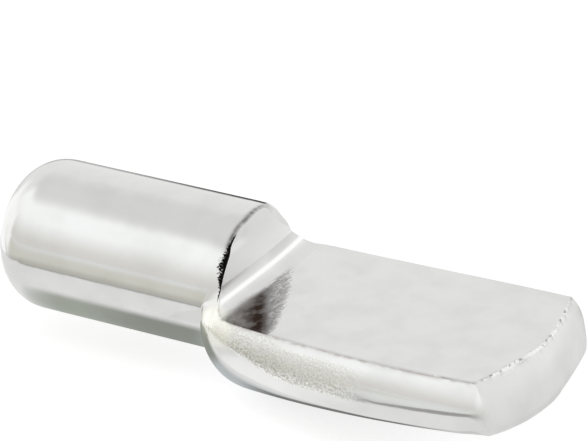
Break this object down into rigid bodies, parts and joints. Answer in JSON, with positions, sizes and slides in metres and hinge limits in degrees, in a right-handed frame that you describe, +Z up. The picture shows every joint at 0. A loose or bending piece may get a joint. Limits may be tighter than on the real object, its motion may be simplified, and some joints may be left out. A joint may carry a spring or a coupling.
{
  "type": "shelf support pin",
  "caption": "Spoon-type shelf support pin: a round peg for a drilled panel with a pressed, flat-topped paddle that the shelf rests on.",
  "frame": {"origin": "on the peg's axis, in the plane of the panel's face where the shoulder stops the peg", "axes": "+X along the peg's axis from the panel out to the tip of the spoon, +Z up, the way the seat faces"},
  "size_m": [0.0248, 0.0102, 0.0074],
  "materials": {
    "plated_steel": "bright nickel plate, lightly tumbled"
  },
  "bodies": {
    "root": {"pin": "plated_steel"}
  },
  "joints": []
}
